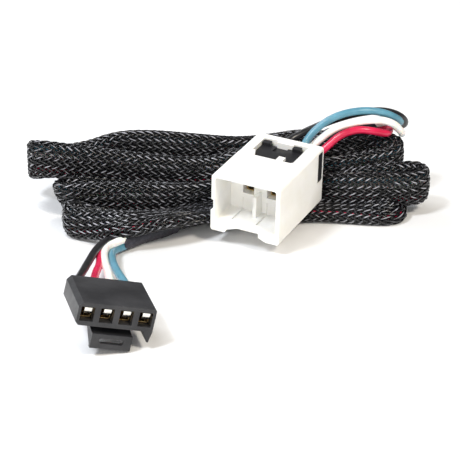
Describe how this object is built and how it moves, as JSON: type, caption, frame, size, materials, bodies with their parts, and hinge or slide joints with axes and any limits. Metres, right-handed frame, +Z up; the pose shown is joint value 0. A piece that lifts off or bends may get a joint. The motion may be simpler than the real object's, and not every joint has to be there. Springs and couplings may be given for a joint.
{
  "type": "brake controller wiring adapter harness",
  "caption": "Sleeved wiring adapter that joins a trailer brake controller's plug to the vehicle's own brake socket.",
  "frame": {"origin": "on the table, under the middle of the box around the two plugs", "axes": "+Z up from the table, +X along the folded hank, +Y from the plugs' mouths towards the hank"},
  "size_m": [0.1475, 0.1376, 0.0385],
  "materials": {
    "white_nylon": "satin moulded nylon",
    "grey_plastic": "satin moulded plastic",
    "black_plastic": "fine-grained moulded plastic",
    "brass": "stamped brass",
    "tin": "bright tin plate",
    "black_insulation": "extruded vinyl",
    "red_insulation": "extruded vinyl",
    "white_insulation": "extruded vinyl",
    "blue_insulation": "extruded vinyl",
    "tape": "wrapped vinyl tape",
    "braid": "woven glossy monofilament"
  },
  "bodies": {
    "harness": {"vehicle_housing": "white_nylon", "vehicle_terminal_black": "brass", "vehicle_terminal_red": "brass", "vehicle_terminal_white": "brass", "vehicle_terminal_blue": "brass", "controller_housing": "black_plastic", "controller_terminal_black": "brass", "controller_terminal_red": "brass", "controller_terminal_white": "brass", "controller_terminal_blue": "brass", "controller_tongue_black": "tin", "controller_tongue_red": "tin", "controller_tongue_white": "tin", "controller_tongue_blue": "tin", "vehicle_wire_black": "black_insulation", "vehicle_wire_red": "red_insulation", "vehicle_wire_white": "white_insulation", "vehicle_wire_blue": "blue_insulation", "controller_wire_black": "black_insulation", "controller_wire_red": "red_insulation", "controller_wire_white": "white_insulation", "controller_wire_blue": "blue_insulation", "vehicle_collar": "tape", "controller_collar": "tape", "sleeve_hank": "braid"},
    "retainer": {"vehicle_retainer": "grey_plastic"},
    "latch": {"controller_latch": "black_plastic"}
  },
  "joints": [
    {"name": "retainer_slide", "type": "slide", "parent": "harness", "child": "retainer", "axis": [0.8992, -0.4347, -0.0497], "range_m": [0, 0.002]},
    {"name": "latch_press", "type": "hinge", "parent": "harness", "child": "latch", "pos_m": [-0.03072, -0.04221, 0.0077], "axis": [-0.9389, -0.2463, 0.2402], "range_deg": [0, 7], "stiffness_Nm_per_rad": 0.8}
  ]
}
